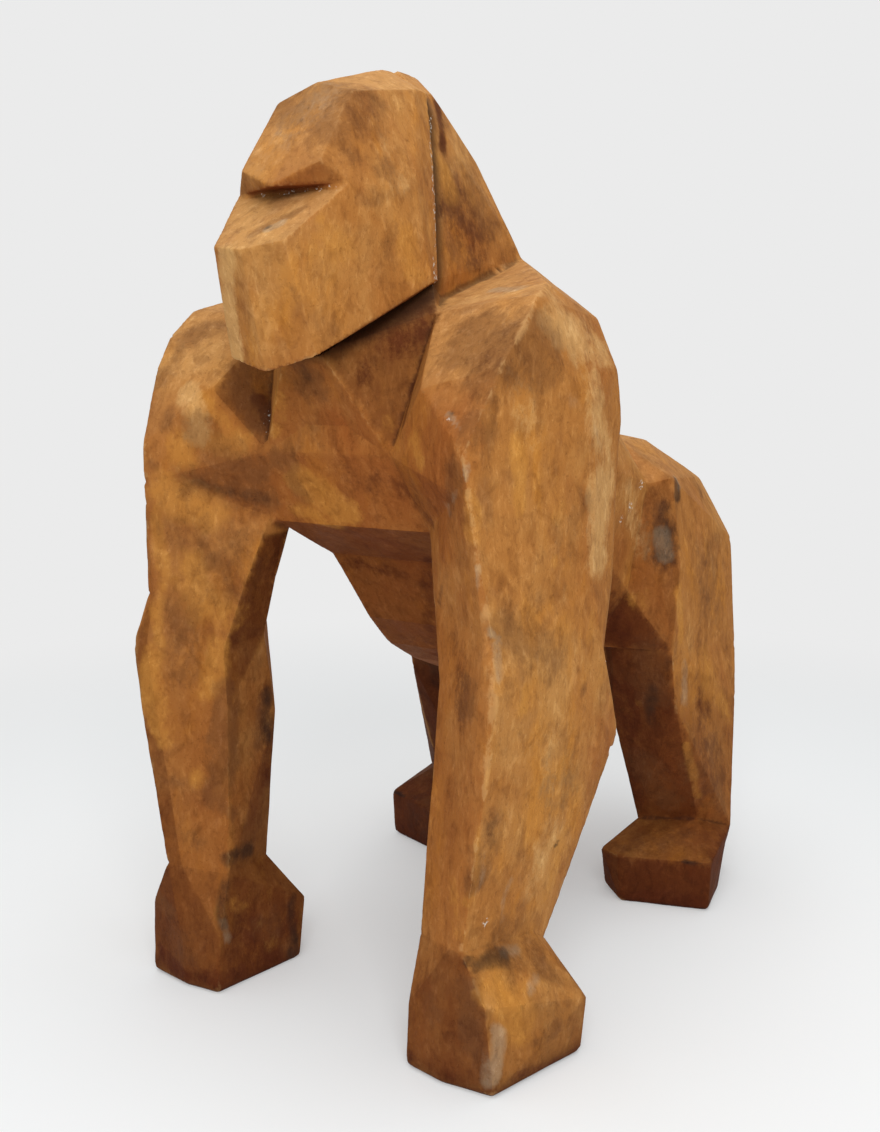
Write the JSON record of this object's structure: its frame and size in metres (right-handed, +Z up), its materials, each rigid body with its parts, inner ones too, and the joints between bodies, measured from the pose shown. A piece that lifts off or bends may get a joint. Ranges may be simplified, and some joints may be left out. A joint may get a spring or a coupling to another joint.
{
  "type": "gorilla garden sculpture",
  "caption": "Faceted gorilla standing on its knuckles and hind feet, hollow cast in sections over a steel armature, with a rust-effect paint finish, for a garden or room.",
  "frame": {"origin": "on the ground under the middle of the figure", "axes": "+Z up, the face looks along -Y, and its left side is at +X"},
  "size_m": [0.322, 0.471, 0.602],
  "materials": {
    "rust_paint": "matt rust-effect paint on a fibre-clay casting",
    "armature_steel": "mill-scale steel bar",
    "bonding_fibre": "glass-fibre bonding compound"
  },
  "bodies": {
    "root": {"head_casting": "rust_paint", "chest_casting": "rust_paint", "haunch_casting": "rust_paint", "left_arm_casting": "rust_paint", "right_arm_casting": "rust_paint", "left_leg_casting": "rust_paint", "right_leg_casting": "rust_paint", "shoulder_rod": "armature_steel", "hip_rod": "armature_steel", "spine_rod": "armature_steel", "neck_rod": "armature_steel", "left_arm_rod": "armature_steel", "right_arm_rod": "armature_steel", "left_leg_rod": "armature_steel", "right_leg_rod": "armature_steel", "waist_band": "bonding_fibre", "left_arm_band": "bonding_fibre", "right_arm_band": "bonding_fibre", "left_leg_band": "bonding_fibre", "right_leg_band": "bonding_fibre"}
  },
  "joints": []
}
